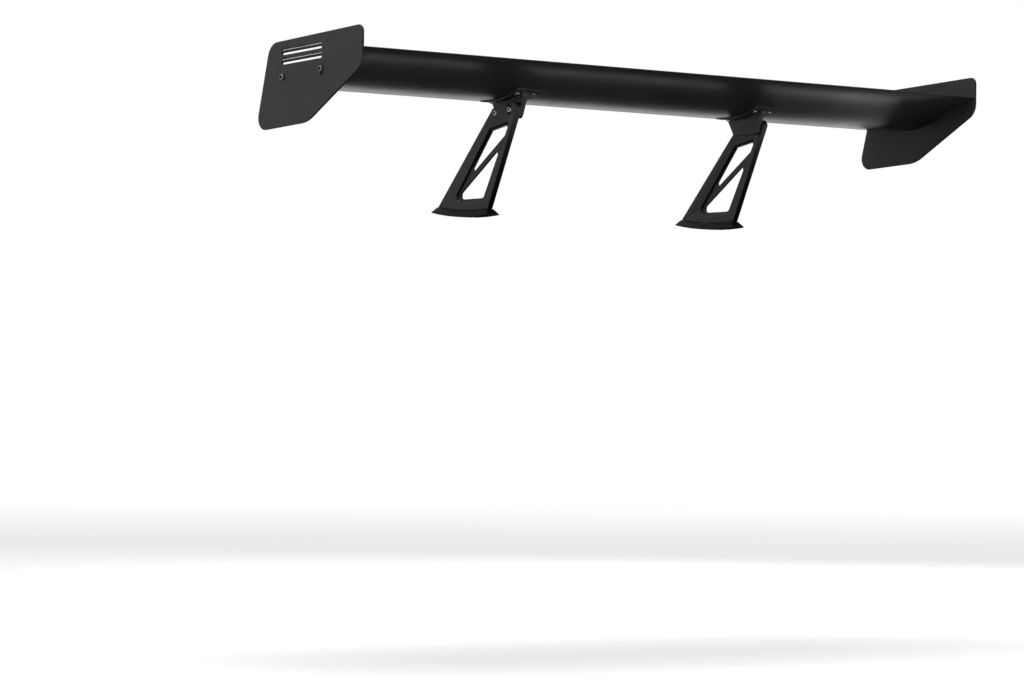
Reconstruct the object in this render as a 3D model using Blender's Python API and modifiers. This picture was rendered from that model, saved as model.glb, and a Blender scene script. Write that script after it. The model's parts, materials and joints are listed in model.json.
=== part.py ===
"""A racing rear wing: a hollow composite wing with end plates, carried on two cut-out stand plates.

X points to the car's right, Y to its front and Z up, in metres. The origin is on the car's centre
plane, midway between the two shoes, at the lowest facet of the gaskets that lie on the boot lid.
The wing, its end plates and its brackets tilt together about the two pivot bolts.
"""

import math

import bmesh
import bpy
from mathutils import Matrix, Vector

GAP = 0.0003  # left between pieces that touch
SIDES = (("left", -1), ("right", 1))

# Wing section, in the Y-Z plane
LEADING_EDGE = Vector((0.0630, 0.2600))
TRAILING_EDGE = Vector((-0.2963, 0.3025))
CHORD = (TRAILING_EDGE - LEADING_EDGE).length
REARWARD = (TRAILING_EDGE - LEADING_EDGE).normalized()
UPWARD = Vector((-REARWARD.y, REARWARD.x)) * (1 if REARWARD.x > 0 else -1)
TRAILING_HALF_THICKNESS = 0.001
SECTION_WEIGHTS = {
    "lower": (-0.234, 0.028, -0.418, -0.536, 0.156, -0.414),
    "upper": (0.198, -0.057, 0.280, -0.434, 0.365, -0.322),
}
SECTION_STEPS = 30
SKIN = 0.002
HALF_SPAN = 0.8247  # to the outer face of an end plate

# End plates
PLATE_THICKNESS = 0.005
PLATE_CORNERS = (
    (0.0360, 0.3330, 0.034),
    (-0.2963, 0.3475, 0.015),
    (-0.2963, 0.2673, 0.035),
    (-0.1017, 0.1654, 0.100),
    (0.0859, 0.1571, 0.025),
)
LOUVRE_FRONT, LOUVRE_REAR = -0.0084, -0.1534
LOUVRE_HEIGHT = 0.0130
LOUVRE_TOPS = (0.3188, 0.2996)  # at the front end of each
LOUVRE_RISE = 0.030  # metres per metre, rearward
LOUVRE_CORNER = 0.0039
HOOD_RIDGE, HOOD_FOOT = 0.0038, 0.0084  # of the hood in each louvre, below the louvre's top
HOOD_ROOT = 0.0008  # how far the hood's top and ends run into the plate
HOOD_BACK = 0.0008  # thickness of the hood's top and foot, at the plate's inner face
PLATE_SOFTENING = 0.0008
PLATE_SCREWS = ((-0.0132, 0.2618), (-0.1530, 0.2690))
PLATE_SCREW_HEAD = (0.0064, 0.0046)  # radius and height
PLATE_SCREW_SHANK = (0.0025, 0.0135)
PLATE_BORE = 0.0029
PLATE_BORE_DEPTH = 0.0150
PLATE_SLOT_DROP, PLATE_SLOT_TRAVEL = 0.0050, 0.0056  # its middle below the rear screw, and either way

# Pieces inside the wing
RIB_THICKNESS = 0.010
RIB_REACH = (0.030, 0.880)  # as fractions of the chord
SPARS = {"front_spar": 0.250, "rear_spar": 0.690}
SPAR_THICKNESS = 0.003
BLOCK_REACH = (0.262, 0.670)
BLOCK_WIDTH = 0.080

# Stand plates
STAND_X = 0.3332
STAND_THICKNESS = 0.0130
STAND_TOP = (
    (-0.0673, 0.2239, 0.0106),
    (-0.1120, 0.2278, 0.0),
    (-0.1615, 0.2360, 0.0110),
)
STAND_FRONT, STAND_REAR = 0.1243, -0.0541  # at the foot
RECESS_DEPTH = 0.0041  # on both faces, round the windows
RECESS_RIM = (
    (0.0709, 0.0340, 0.010),
    (-0.0500, 0.0340, 0.010),
    (-0.1300, 0.1948, 0.006),
    (-0.0571, 0.1818, 0.012),
)
RECESS_FLOOR = (
    (0.0664, 0.0362, 0.008),
    (-0.0485, 0.0362, 0.008),
    (-0.1259, 0.1916, 0.004),
    (-0.0573, 0.1793, 0.010),
)
STAND_WINDOWS = (
    (
        (-0.1180, 0.1872, 0.004),
        (-0.0545, 0.1768, 0.010),
        (0.0255, 0.0790, 0.005),
        (-0.1060, 0.1655, 0.008),
    ),
    (
        (-0.0918, 0.1439, 0.005),
        (0.0666, 0.0386, 0.008),
        (-0.0323, 0.0386, 0.010),
    ),
)
EDGE = 0.0010  # softened edge on the stand plates

# Brackets between a stand plate and the wing
BRACKET_X = 0.3205
WEB_THICKNESS = 0.0120
SHOULDER_THICKNESS = 0.0170  # the web's upper part, over the stand plate's top edge
SHOULDER_CLEARANCE = 0.0065
WEB_X = STAND_X - STAND_THICKNESS / 2 - GAP - WEB_THICKNESS / 2
WEB_FOOT = (
    (-0.1400, 0.1995, 0.010),
    (-0.0650, 0.2035, 0.003),
)
WEB_REACH = (0.288, 0.612)  # where its top meets the wing, as fractions of the chord
FLANGE_REACH = (0.225, 0.640)
FLANGE_THICKNESS = 0.0040
FLANGE_HALF_WIDTH = 0.031
FLANGE_TAPER, FLANGE_TAPER_LENGTH = 0.014, 0.030
FLANGE_MARGIN = 0.002  # by which its plan is longer than its section
BRACKET_SCREW_OFFSET = 0.0200
BRACKET_SCREW_REACH = (0.350, 0.592)
BRACKET_SCREW_HEAD = (0.0048, 0.0026)
BRACKET_SCREW_SHANK = (0.0024, 0.0180)
BRACKET_BORE = 0.0028
BRACKET_BORE_DEPTH = 0.0195
WEB_SOFTENING = 0.0015

# Pivot and angle adjustment
PIVOT = Vector((-0.0730, 0.2145))
ANGLE_BOLT = Vector((-0.1252, 0.2180))
ANGLE_LIMIT = math.radians(4.0)
BOLT_RADIUS = 0.0040
BOLT_HEAD_RADIUS = 0.0062
BOLT_HEAD_HEIGHT = 0.0036
BUSH_WALL = 0.0010
POCKET_DEPTH = 0.0045
POCKET_RADIUS = 0.0075
ANGLE_POCKET_RADIUS = 0.0070
WASHER_THICKNESS = 0.0012
TAP_FLOOR = 0.0025  # metal left under the blind holes that the bolts screw into

# Shoes and gaskets under the stand plates
ROCKER_RADIUS = 0.700
ROCKER_CENTRE = -0.0040
FACET = 0.0320
GASKET_THICKNESS = 0.0015
SHOE_HEIGHT = 0.0119
SHOE_FLARE = 0.0090
SHOE_LIP = 0.0010  # how far the top stands out past the plate
SHOE_SOFTENING = 0.0006
SHOE_SCREWS = (0.0280, 0.0800)
SHOE_SCREW_HEAD = (0.0043, 0.0045)
SHOE_SCREW_SHANK = (0.0025, 0.0280)
SHOE_SEAT = 0.0055  # of these screws' heads, above the shoe's underside
SHOE_SEAT_BORE, SHOE_BORE = 0.0046, 0.0029
SHOE_BORE_DEPTH = 0.0285
DECK_INSERTS = (-0.0420, 0.1120)
INSERT_BORE, INSERT_RADIUS, INSERT_LENGTH = 0.0030, 0.0045, 0.0090
INSERT_START = 0.0024  # above the gasket's underside
GASKET_HOLE = 0.0052


def clear_scene():
    for obj in list(bpy.data.objects):
        bpy.data.objects.remove(obj, do_unlink=True)


def new_collection(name):
    collection = bpy.data.collections.new(name)
    bpy.context.scene.collection.children.link(collection)
    return collection


def new_material(name, colour, roughness, metallic):
    material = bpy.data.materials.new(name)
    material.use_nodes = True
    shader = material.node_tree.nodes["Principled BSDF"]
    shader.inputs["Base Color"].default_value = (*colour, 1.0)
    shader.inputs["Roughness"].default_value = roughness
    shader.inputs["Metallic"].default_value = metallic
    material.diffuse_color = (*colour, 1.0)
    return material


def add(name, mesh, collection, material=None):
    obj = bpy.data.objects.new(name, mesh)
    collection.objects.link(obj)
    if material:
        mesh.materials.clear()
        mesh.materials.append(material)
    return obj


def add_cutter(name, mesh):
    obj = add(name, mesh, cutters)
    obj.hide_render = True
    obj.display_type = "WIRE"
    return obj


def baked(obj):
    """The object's evaluated mesh, its loose caps welded and made whole. The object is removed."""
    graph = bpy.context.evaluated_depsgraph_get()
    mesh = bpy.data.meshes.new_from_object(obj.evaluated_get(graph))
    shape = bmesh.new()
    shape.from_mesh(mesh)
    bmesh.ops.remove_doubles(shape, verts=shape.verts, dist=1e-6)
    bmesh.ops.dissolve_limit(
        shape, angle_limit=math.radians(0.1), verts=shape.verts, edges=shape.edges
    )
    shape.to_mesh(mesh)
    shape.free()
    mesh.name = obj.name
    bpy.data.objects.remove(obj, do_unlink=True)
    return mesh


def outline_mesh(name, loops, thickness):
    """A flat sheet of this thickness. The first loop is its outline, and the others are holes."""
    curve = bpy.data.curves.new(name, "CURVE")
    curve.dimensions = "2D"
    curve.fill_mode = "BOTH"
    curve.extrude = thickness / 2
    for loop in loops:
        spline = curve.splines.new("POLY")
        spline.points.add(len(loop) - 1)
        spline.use_cyclic_u = True
        for point, (a, b) in zip(spline.points, loop):
            point.co = (a, b, 0.0, 1.0)
    return baked(add(name, curve, cutters))


def stand_upright(obj, x):
    """Puts an outline drawn in (Y, Z) at this X."""
    obj.rotation_euler = (math.pi / 2, 0.0, math.pi / 2)
    obj.location = (x, 0.0, 0.0)
    return obj


def rounded(corners, steps=5):
    """The closed outline through (a, b, radius) corners, each turned by an arc."""
    points = []
    for i, (a, b, radius) in enumerate(corners):
        corner = Vector((a, b))
        if radius == 0:
            points.append(corner)
            continue
        back = (Vector(corners[i - 1][:2]) - corner).normalized()
        ahead = (Vector(corners[(i + 1) % len(corners)][:2]) - corner).normalized()
        half = back.angle(ahead) / 2
        centre = corner + (back + ahead).normalized() * radius / math.sin(half)
        start = corner + back * radius / math.tan(half) - centre
        end = corner + ahead * radius / math.tan(half) - centre
        for k in range(steps + 1):
            points.append(centre + start.lerp(end, k / steps).normalized() * radius)
    return points


def obround(centre, along, travel, radius, steps=8):
    """The outline of a slot with round ends, whose centres lie this far either way."""
    across = Vector((along.y, -along.x))
    points = []
    for end in (1, -1):
        for k in range(steps + 1):
            turn = math.pi * k / steps
            arm = (across * math.cos(turn) + along * math.sin(turn)) * radius * end
            points.append(centre + along * travel * end + arm)
    return points


def soften(obj, width=EDGE):
    """Bevels the sharp edges, before any Boolean."""
    bevel = obj.modifiers.new("Softened edges", "BEVEL")
    bevel.width = width
    bevel.segments = 1
    bevel.limit_method = "ANGLE"
    bevel.angle_limit = math.radians(50)
    bevel.use_clamp_overlap = False


def combine(obj, other, operation):
    modifier = obj.modifiers.new(f"{operation.title()} {other.name}", "BOOLEAN")
    modifier.operation = operation
    modifier.object = other
    modifier.solver = "EXACT"


def rod_cutter(name, radius, start, end, sides=12):
    """A cylinder between two points, for cutting a hole."""
    axis = end - start
    bpy.ops.mesh.primitive_cylinder_add(vertices=sides, radius=radius, depth=axis.length)
    helper = bpy.context.object
    mesh = helper.data
    bpy.data.objects.remove(helper, do_unlink=True)
    obj = add_cutter(name, mesh)
    obj.rotation_mode = "QUATERNION"
    obj.rotation_quaternion = axis.to_track_quat("Z", "Y")
    obj.location = (start + end) / 2
    return obj


def turned_mesh(name, profile, sides):
    """A mesh turned about Z. The (radius, height) profile runs down its outer side."""
    mesh = bpy.data.meshes.new(name)
    points = [(radius, 0.0, height) for radius, height in profile]
    mesh.from_pydata(points, [(i, i + 1) for i in range(len(points) - 1)], [])
    obj = add(name, mesh, cutters)
    screw = obj.modifiers.new("Turn", "SCREW")
    screw.steps = screw.render_steps = sides
    screw.use_merge_vertices = True
    screw.merge_threshold = 1e-5
    return obj


def fastener_mesh(name, head, shank, sides, cone=0.0):
    """A socket screw with its head's seat at Z = 0 and its shank below. Cone narrows the crown."""
    (head_radius, head_height), (shank_radius, length) = head, shank
    screw = turned_mesh(
        name,
        (
            (0.0, head_height),
            (head_radius * (1 - cone), head_height),
            (head_radius, head_height * (1 - cone)),
            (head_radius, 0.0),
            (shank_radius, 0.0),
            (shank_radius, -length),
            (0.0, -length),
        ),
        sides,
    )
    top = Vector((0.0, 0.0, head_height + GAP))
    floor = Vector((0.0, 0.0, head_height * 0.4))
    combine(screw, rod_cutter(f"{name}_socket", head_radius * 0.5, floor, top, 6), "DIFFERENCE")
    return baked(screw)


def ring_mesh(name, inner, outer, bottom, top, sides):
    """A plain ring about Z."""
    profile = ((inner, bottom), (inner, top), (outer, top), (outer, bottom), (inner, bottom))
    ring = turned_mesh(name, profile, sides)
    return baked(ring)


def place(obj, location, towards):
    """Puts a turned piece with its local Z pointing towards this direction."""
    obj.location = location
    obj.rotation_mode = "QUATERNION"
    obj.rotation_quaternion = Vector(towards).to_track_quat("Z", "Y")
    return obj


def rides_pivot(obj):
    """Parents a piece to the empty on the tilt axis, where it already stands."""
    obj.parent = pivot
    obj.matrix_parent_inverse = Matrix.Translation(-pivot.location)
    return obj


# Wing section ----------------------------------------------------------------------------------

SECTION_MARKS = [(1 - math.cos(math.pi * k / SECTION_STEPS)) / 2 for k in range(SECTION_STEPS + 1)]


def section_height(side, fraction):
    """Height of a surface over the chord line, at a fraction of the chord."""
    weights = SECTION_WEIGHTS[side]
    degree = len(weights) - 1
    shape = sum(
        weight * math.comb(degree, i) * fraction**i * (1 - fraction) ** (degree - i)
        for i, weight in enumerate(weights)
    )
    trailing = TRAILING_HALF_THICKNESS * (1 if side == "upper" else -1)
    return CHORD * math.sqrt(fraction) * (1 - fraction) * shape + trailing * fraction


def in_plane(along, height):
    """A (Y, Z) point from a distance along the chord and a height over it."""
    return LEADING_EDGE + REARWARD * along + UPWARD * height


def surface_point(side, fraction, inward):
    """A (Y, Z) point of one surface, moved into the section by a distance along its normal."""
    sign = 1 if side == "lower" else -1
    if fraction == 0:
        return in_plane(inward, -sign * GAP / 2)
    step = min(1e-4, fraction / 2, (1 - fraction + 1e-9) / 2)
    low, high = fraction - step, fraction + step if fraction < 1 else fraction
    rise = section_height(side, high) - section_height(side, low)
    slope = Vector((CHORD * (high - low), rise)).normalized()
    along = CHORD * fraction - sign * slope.y * inward
    return in_plane(along, section_height(side, fraction) + sign * slope.x * inward)


def stations(start, end):
    """The section's corner points between two fractions of the chord, and those two."""
    between = [mark for mark in SECTION_MARKS if start < mark < end]
    return [start, *between, end]


def facet_point(side, fraction, inward):
    """The point on the straight facet between the two corner points on each side of it."""
    after = next((i for i, mark in enumerate(SECTION_MARKS) if mark >= fraction), 0)
    low, high = SECTION_MARKS[max(after - 1, 0)], SECTION_MARKS[after]
    share = (fraction - low) / (high - low) if high > low else 1.0
    first, second = surface_point(side, low, inward), surface_point(side, high, inward)
    return first.lerp(second, share)


def facet_normal(side, fraction):
    """The (Y, Z) direction into the section."""
    return (facet_point(side, fraction, 0.001) - facet_point(side, fraction, 0.0)).normalized()


def wall_at(fraction):
    """Skin thickness, less where the two skins come together at the trailing edge."""
    if fraction < 0.5:
        return SKIN
    depth = section_height("upper", fraction) - section_height("lower", fraction)
    return min(SKIN, (depth - GAP) / 2)


def skin_outline(side):
    outside = [surface_point(side, mark, 0.0) for mark in SECTION_MARKS]
    inside = [surface_point(side, mark, wall_at(mark)) for mark in reversed(SECTION_MARKS)]
    return outside + inside


def cavity_outline(start, end):
    """The hollow between the two skins, over part of the chord."""
    marks = stations(start, end)
    floor = [facet_point("lower", mark, SKIN + GAP) for mark in marks]
    roof = [facet_point("upper", mark, SKIN + GAP) for mark in reversed(marks)]
    return floor + roof


# The wing --------------------------------------------------------------------------------------

SKIN_END = HALF_SPAN - PLATE_THICKNESS - GAP
RIB_X = SKIN_END - RIB_THICKNESS / 2
SPAR_END = SKIN_END - RIB_THICKNESS - GAP
SCREW_SEAT = GAP  # clearance under a screw's head


def make_skins():
    skins = {}
    for side in ("lower", "upper"):
        mesh = outline_mesh(f"{side}_skin", [skin_outline(side)], 2 * SKIN_END)
        skins[side] = stand_upright(add(f"{side}_skin", mesh, parts, paint["wing skin"]), 0.0)
    return skins


def make_spars():
    for name, fraction in SPARS.items():
        half = SPAR_THICKNESS / CHORD / 2
        outline = cavity_outline(fraction - half, fraction + half)
        mesh = outline_mesh(name, [outline], 2 * SPAR_END)
        rides_pivot(stand_upright(add(name, mesh, parts, paint["laminate"]), 0.0))


def make_end_ribs():
    mesh = outline_mesh("end_rib", [cavity_outline(*RIB_REACH)], RIB_THICKNESS)
    ribs = {}
    for word, sign in SIDES:
        rib = add(f"end_rib_{word}", mesh.copy(), parts, paint["bare aluminium"])
        ribs[word] = stand_upright(rib, sign * RIB_X)
    return ribs


def make_mount_blocks():
    mesh = outline_mesh("mount_block", [cavity_outline(*BLOCK_REACH)], BLOCK_WIDTH)
    blocks = {}
    for word, sign in SIDES:
        block = add(f"mount_block_{word}", mesh.copy(), parts, paint["bare aluminium"])
        blocks[word] = stand_upright(block, sign * BRACKET_X)
    return blocks


def louvre(top):
    """One slot through an end plate, with round ends, rising to the rear."""
    rise = (LOUVRE_FRONT - LOUVRE_REAR) * LOUVRE_RISE
    return rounded(
        (
            (LOUVRE_FRONT, top, LOUVRE_CORNER),
            (LOUVRE_REAR, top + rise, LOUVRE_CORNER),
            (LOUVRE_REAR, top + rise - LOUVRE_HEIGHT, LOUVRE_CORNER),
            (LOUVRE_FRONT, top - LOUVRE_HEIGHT, LOUVRE_CORNER),
        ),
        3,
    )


def add_louvre_hoods(plate, word, sign):
    """Joins a hood into the top of each louvre: it comes forward to a ridge and goes back to its foot."""
    reach = PLATE_THICKNESS / 2 - GAP
    section = (
        (-sign * reach, HOOD_ROOT),
        (-sign * (reach - HOOD_BACK), HOOD_ROOT),
        (sign * reach, -HOOD_RIDGE),
        (-sign * (reach - HOOD_BACK), -HOOD_FOOT),
        (-sign * reach, -HOOD_FOOT),
    )
    middle = (LOUVRE_FRONT + LOUVRE_REAR) / 2
    length = LOUVRE_FRONT - LOUVRE_REAR + 2 * HOOD_ROOT
    mesh = outline_mesh(f"louvre_hood_{word}", [section], length)
    for number, top in enumerate(LOUVRE_TOPS, 1):
        hood = add_cutter(f"louvre_hood_{number}_{word}", mesh)
        hood.rotation_euler = (math.pi / 2 - math.atan(LOUVRE_RISE), 0.0, 0.0)
        rise = (LOUVRE_FRONT - middle) * LOUVRE_RISE
        hood.location = (plate.location.x, middle, top + rise)
        combine(plate, hood, "UNION")


def make_endplates(ribs):
    loops = [rounded(PLATE_CORNERS, 6)] + [louvre(top) for top in LOUVRE_TOPS]
    up = Vector((0.0, 1.0))
    slot_middle = Vector(PLATE_SCREWS[1]) - up * PLATE_SLOT_DROP
    rear_slot = obround(slot_middle, up, PLATE_SLOT_TRAVEL, PLATE_BORE)
    mesh = outline_mesh("endplate", [*loops, rear_slot], PLATE_THICKNESS)
    screw = fastener_mesh("endplate_screw", PLATE_SCREW_HEAD, PLATE_SCREW_SHANK, 12, 0.3)
    for word, sign in SIDES:
        plate = add(f"endplate_{word}", mesh.copy(), parts, paint["end plate"])
        stand_upright(plate, sign * (HALF_SPAN - PLATE_THICKNESS / 2))
        soften(plate, PLATE_SOFTENING)
        add_louvre_hoods(plate, word, sign)
        for place_word, (y, z) in zip(("front", "rear"), PLATE_SCREWS):
            seat = Vector((sign * (HALF_SPAN + SCREW_SEAT), y, z))
            inner = seat - Vector((sign * PLATE_BORE_DEPTH, 0.0, 0.0))
            outer = seat + Vector((sign * PLATE_THICKNESS, 0.0, 0.0))
            bore = rod_cutter(f"endplate_bore_{word}_{place_word}", PLATE_BORE, inner, outer)
            combine(plate, bore, "DIFFERENCE")
            combine(ribs[word], bore, "DIFFERENCE")
            name = f"endplate_screw_{place_word}_{word}"
            piece = place(add(name, screw, parts, paint["black screw"]), seat, (sign, 0, 0))
            rides_pivot(piece)
        rides_pivot(plate)


# Brackets --------------------------------------------------------------------------------------


def flange_mesh():
    marks = stations(*FLANGE_REACH)
    seat = [facet_point("lower", mark, -GAP) for mark in marks]
    sole = [facet_point("lower", mark, -GAP - FLANGE_THICKNESS) for mark in reversed(marks)]
    return outline_mesh("flange", [seat + sole], 2 * FLANGE_HALF_WIDTH)


def flange_plan():
    """The flange seen from above: square at the rear, narrowed at the front."""
    front = facet_point("lower", FLANGE_REACH[0], 0.0).x + FLANGE_MARGIN
    rear = facet_point("lower", FLANGE_REACH[1], 0.0).x - FLANGE_MARGIN
    wide, narrow = FLANGE_HALF_WIDTH, FLANGE_HALF_WIDTH - FLANGE_TAPER
    shoulder = front - FLANGE_TAPER_LENGTH
    corners = (
        (-wide, rear, 0.010),
        (wide, rear, 0.010),
        (wide, shoulder, 0.020),
        (narrow, front, 0.010),
        (-narrow, front, 0.010),
        (-wide, shoulder, 0.020),
    )
    return outline_mesh("flange_plan", [rounded(corners, 4)], 4 * FLANGE_MARGIN + CHORD / 2)


def web_mesh():
    """The upright web, whose top runs inside the flange along the wing's underside."""
    depth = -GAP - FLANGE_THICKNESS / 2
    top = [(*facet_point("lower", mark, depth), 0.0) for mark in stations(*WEB_REACH)]
    return outline_mesh("web", [rounded((*top, *WEB_FOOT), 4)], WEB_THICKNESS)


def shoulder_mesh():
    """The thicker upper part of the web, which clears the stand plate's top at both limits."""
    depth = -GAP - FLANGE_THICKNESS / 2
    top = [(*facet_point("lower", mark, depth), 0.0) for mark in stations(*WEB_REACH)]
    line = [(y, z + SHOULDER_CLEARANCE, 0.0) for y, z, _ in reversed(STAND_TOP)]
    return outline_mesh("shoulder", [rounded((*top, *line))], SHOULDER_THICKNESS)


def make_brackets(lower_skin, blocks):
    flange, plan, web, shoulder = flange_mesh(), flange_plan(), web_mesh(), shoulder_mesh()
    screw = fastener_mesh("bracket_screw", BRACKET_SCREW_HEAD, BRACKET_SCREW_SHANK, 12, 0.35)
    brackets = {}
    for word, sign in SIDES:
        bracket = add(f"bracket_{word}", flange.copy(), parts, paint["bracket"])
        stand_upright(bracket, sign * BRACKET_X)
        trim = add_cutter(f"flange_plan_{word}", plan)
        trim.location = (sign * BRACKET_X, 0.0, LEADING_EDGE.y)
        upright = stand_upright(add_cutter(f"web_{word}", web.copy()), sign * WEB_X)
        soften(upright, WEB_SOFTENING)
        block = add_cutter(f"shoulder_{word}", shoulder.copy())
        stand_upright(block, sign * (WEB_X + (SHOULDER_THICKNESS - WEB_THICKNESS) / 2 - GAP))
        combine(bracket, trim, "INTERSECT")
        combine(bracket, upright, "UNION")
        combine(bracket, block, "UNION")
        for place_word, fraction in zip(("front", "rear"), BRACKET_SCREW_REACH):
            for across_word, across in (("inner", -1), ("outer", 1)):
                x = sign * (BRACKET_X + across * BRACKET_SCREW_OFFSET)
                depth = -FLANGE_THICKNESS - GAP - SCREW_SEAT
                seat = Vector((x, *facet_point("lower", fraction, depth)))
                inward = Vector((0.0, *facet_normal("lower", fraction)))
                bore = rod_cutter(
                    f"bracket_bore_{place_word}_{across_word}_{word}",
                    BRACKET_BORE,
                    seat - inward * FLANGE_THICKNESS,
                    seat + inward * BRACKET_BORE_DEPTH,
                )
                for cut_piece in (bracket, lower_skin, blocks[word]):
                    combine(cut_piece, bore, "DIFFERENCE")
                name = f"bracket_screw_{place_word}_{across_word}_{word}"
                rides_pivot(place(add(name, screw, parts, paint["bright screw"]), seat, -inward))
        brackets[word] = bracket
    return brackets


# Stand plates and the bolts through them -------------------------------------------------------

STAND_OUTER = STAND_X + STAND_THICKNESS / 2
STAND_INNER = STAND_X - STAND_THICKNESS / 2
POCKET_FLOOR = STAND_OUTER - POCKET_DEPTH
WEB_INNER = WEB_X - WEB_THICKNESS / 2
BUSH_RADIUS = BOLT_RADIUS + GAP + BUSH_WALL
CUT_PAST = 0.002  # by which a cutter runs past the surface it cuts


def rocker(y):
    """Height of the faceted underside, which is level under the rocker's centre."""
    steps = abs(y - ROCKER_CENTRE) / FACET
    inner = max(math.floor(steps + 0.5) - 0.5, 0.5)
    share = max(steps - inner, 0.0)

    def arc(count):
        return (count * FACET) ** 2 / (2 * ROCKER_RADIUS)

    return arc(inner) + (arc(inner + 1) - arc(inner)) * share - arc(0.5)


def facet_marks(rear, front):
    """The Y positions between two ends where the underside changes slope."""
    first = math.ceil((rear - ROCKER_CENTRE) / FACET - 0.5)
    last = math.floor((front - ROCKER_CENTRE) / FACET - 0.5)
    return [ROCKER_CENTRE + (k + 0.5) * FACET for k in range(first, last + 1)]


SHOE_BOTTOM = GASKET_THICKNESS + GAP
STAND_BOTTOM = SHOE_BOTTOM + SHOE_HEIGHT + GAP


def stand_outline():
    foot = [STAND_FRONT, *reversed(facet_marks(STAND_REAR, STAND_FRONT)), STAND_REAR]
    corners = [(y, rocker(y) + STAND_BOTTOM, 0.0) for y in foot]
    return rounded((*reversed(corners), *STAND_TOP))


def angle_slot_cutter(name, radius, travel, x_start, x_end):
    """A slot at the angle bolt, long enough for the bolt to move through both limits."""
    arm = (ANGLE_BOLT - PIVOT).normalized()
    outline = obround(ANGLE_BOLT, Vector((-arm.y, arm.x)), travel, radius)
    mesh = outline_mesh(name, [outline], abs(x_end - x_start))
    return stand_upright(add_cutter(name, mesh), (x_start + x_end) / 2)


def recess_cutter(name, face_x, into):
    """The sloping-sided recess round the windows, from one face of the plate inwards."""
    rim, floor = rounded(RECESS_RIM, 4), rounded(RECESS_FLOOR, 4)
    shape = bmesh.new()
    loops = []
    for outline, depth in ((rim, -CUT_PAST), (rim, 0.0), (floor, RECESS_DEPTH)):
        x = face_x + into * depth
        loops.append([shape.verts.new((x, y, z)) for y, z in outline])
    for outer, inner in zip(loops, loops[1:]):
        for i in range(len(outer)):
            shape.faces.new((outer[i - 1], outer[i], inner[i], inner[i - 1]))
    shape.faces.new(loops[0])
    shape.faces.new(loops[-1])
    bmesh.ops.recalc_face_normals(shape, faces=shape.faces)
    mesh = bpy.data.meshes.new(name)
    shape.to_mesh(mesh)
    shape.free()
    return add_cutter(name, mesh)


def bolt_cutters(word, sign):
    """What is cut from a stand plate round its two bolts: a pocket and a passage at each."""
    travel = (ANGLE_BOLT - PIVOT).length * math.sin(ANGLE_LIMIT)

    def at(x):
        return Vector((sign * x, *PIVOT))

    return (
        rod_cutter(f"pivot_pocket_{word}", POCKET_RADIUS, at(POCKET_FLOOR), at(STAND_OUTER + CUT_PAST), 20),
        rod_cutter(f"bush_bore_{word}", BUSH_RADIUS + GAP, at(STAND_INNER - CUT_PAST), at(STAND_OUTER), 16),
        angle_slot_cutter(
            f"angle_pocket_{word}",
            ANGLE_POCKET_RADIUS,
            travel,
            sign * POCKET_FLOOR,
            sign * (STAND_OUTER + CUT_PAST),
        ),
        angle_slot_cutter(
            f"angle_slot_{word}",
            BOLT_RADIUS + GAP,
            travel + GAP,
            sign * (STAND_INNER - CUT_PAST),
            sign * STAND_OUTER,
        ),
    )


def make_stands(brackets):
    mesh = outline_mesh("stand_plate", [stand_outline()], STAND_THICKNESS)
    windows = [
        outline_mesh(f"window_{i}", [rounded(corners, 4)], 2 * STAND_THICKNESS)
        for i, corners in enumerate(STAND_WINDOWS)
    ]
    for word, sign in SIDES:
        stand = add(f"stand_plate_{word}", mesh.copy(), parts, paint["stand plate"])
        stand_upright(stand, sign * STAND_X)
        soften(stand)
        recesses = (
            recess_cutter(f"outer_recess_{word}", sign * STAND_OUTER, -sign),
            recess_cutter(f"inner_recess_{word}", sign * STAND_INNER, sign),
        )
        openings = [
            stand_upright(add_cutter(f"{window.name}_{word}", window), sign * STAND_X)
            for window in windows
        ]
        for cutter in (*recesses, *openings, *bolt_cutters(word, sign)):
            combine(stand, cutter, "DIFFERENCE")
        make_bolts(word, sign, brackets[word])
        make_foot(word, sign, stand)


def make_bolts(word, sign, bracket):
    """The bolts of one stand plate, its bush and its washer, and the blind holes in the bracket."""
    shank = (BOLT_RADIUS, POCKET_FLOOR - WEB_INNER - TAP_FLOOR)
    bolt = fastener_mesh(f"bolt_{word}", (BOLT_HEAD_RADIUS, BOLT_HEAD_HEIGHT), shank, 16, 0.3)
    passage = POCKET_FLOOR - STAND_INNER
    bush = ring_mesh(f"pivot_bush_{word}", BOLT_RADIUS + GAP, BUSH_RADIUS, GAP, passage - GAP, 16)
    washer = ring_mesh(
        f"angle_washer_{word}", BOLT_RADIUS + GAP, BOLT_HEAD_RADIUS, 0.0, WASHER_THICKNESS, 16
    )
    outward = (sign, 0, 0)

    def at(x, point):
        return Vector((sign * x, *point))

    for spot_word, spot, stand_off in (
        ("pivot", PIVOT, GAP),
        ("angle", ANGLE_BOLT, WASHER_THICKNESS + 2 * GAP),
    ):
        tap = rod_cutter(
            f"{spot_word}_tap_{word}",
            BOLT_RADIUS + GAP,
            at(WEB_INNER + TAP_FLOOR, spot),
            at(STAND_INNER + CUT_PAST, spot),
            16,
        )
        combine(bracket, tap, "DIFFERENCE")
        piece = add(f"{spot_word}_bolt_{word}", bolt, parts, paint["bright bolt"])
        rides_pivot(place(piece, at(POCKET_FLOOR + stand_off, spot), outward))
    place(add(f"pivot_bush_{word}", bush, parts, paint["bush"]), at(STAND_INNER, PIVOT), outward)
    piece = add(f"angle_washer_{word}", washer, parts, paint["bright bolt"])
    rides_pivot(place(piece, at(POCKET_FLOOR + GAP, ANGLE_BOLT), outward))


# Shoes, gaskets and what fastens them ----------------------------------------------------------


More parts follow.
